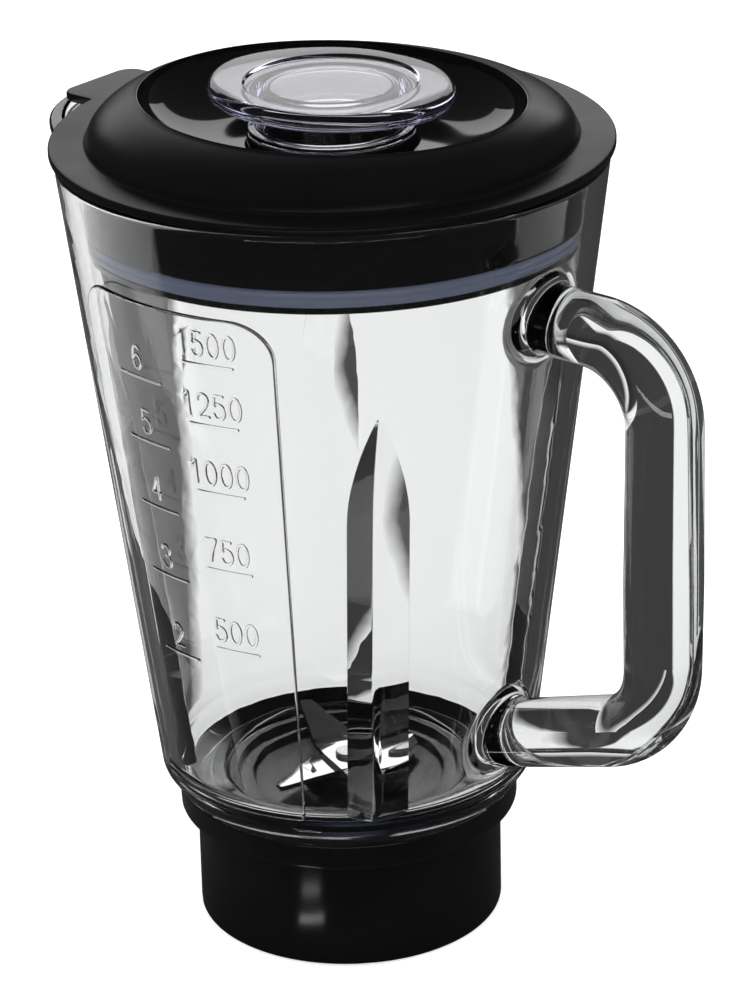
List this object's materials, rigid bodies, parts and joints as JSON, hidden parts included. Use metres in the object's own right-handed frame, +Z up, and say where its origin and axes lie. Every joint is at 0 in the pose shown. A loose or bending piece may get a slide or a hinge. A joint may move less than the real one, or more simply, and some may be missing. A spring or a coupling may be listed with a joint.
{
  "type": "blender jug",
  "caption": "Tapered glass blender jug with a fused handle, inner ribs, black lid with clear measuring cap, and a screw-on black base that carries the blades and drive.",
  "frame": {"origin": "on the jar's axis, in the plane of the base's bottom rim, where the drive enters", "axes": "+Z up along the jar's axis, +X towards the handle, -X towards the spout, -Y towards the volume scale"},
  "size_m": [0.2128, 0.155, 0.2499],
  "materials": {
    "glass": "clear cast glass, polished",
    "black_plastic": "black moulded plastic, satin outside and glossy in the bowl",
    "clear_plastic": "clear moulded plastic with a faint violet edge",
    "silicone": "translucent blue-grey silicone",
    "black_rubber": "black seal rubber",
    "steel": "polished stainless steel",
    "bronze": "sintered bronze",
    "aluminium": "turned aluminium",
    "felt": "oiled wool felt",
    "coupling_plastic": "black nylon"
  },
  "bodies": {
    "base": {"base_collar": "black_plastic", "blade_carrier": "black_plastic", "bearing_sleeve": "aluminium", "upper_bush": "bronze", "lower_bush": "bronze", "shaft_seal": "black_rubber", "grease_felt": "felt"},
    "gasket": {"jar_gasket": "silicone"},
    "jar": {"glass_jar": "glass"},
    "lid": {"lid": "black_plastic", "lid_seal": "silicone"},
    "cap": {"measuring_cap": "clear_plastic"},
    "rotor": {"drive_shaft": "steel", "thrust_washer": "steel", "lower_blade": "steel", "upper_blade": "steel", "lower_washer": "steel", "retaining_ring": "steel", "drive_coupling": "coupling_plastic", "coupling_insert": "steel"}
  },
  "joints": [
    {"name": "jar_rise", "type": "slide", "parent": "base", "child": "gasket", "axis": [0, 0, 1], "range_m": [0, 0.009]},
    {"name": "jar_unscrew", "type": "hinge", "parent": "gasket", "child": "jar", "pos_m": [0, 0, 0.0325], "axis": [0, 0, 1], "range_deg": [0, 540]},
    {"name": "lid_lift", "type": "slide", "parent": "jar", "child": "lid", "axis": [0, 0, 1], "range_m": [0, 0.06]},
    {"name": "cap_lift", "type": "slide", "parent": "lid", "child": "cap", "axis": [0, 0, 1], "range_m": [0, 0.06]},
    {"name": "blade_spin", "type": "hinge", "parent": "base", "child": "rotor", "pos_m": [0, 0, 0.027], "axis": [0, 0, 1], "continuous": true}
  ],
  "couplings": [
    {"joint": "jar_rise", "follows": "jar_unscrew", "m_per_rad": 0.00095493}
  ]
}
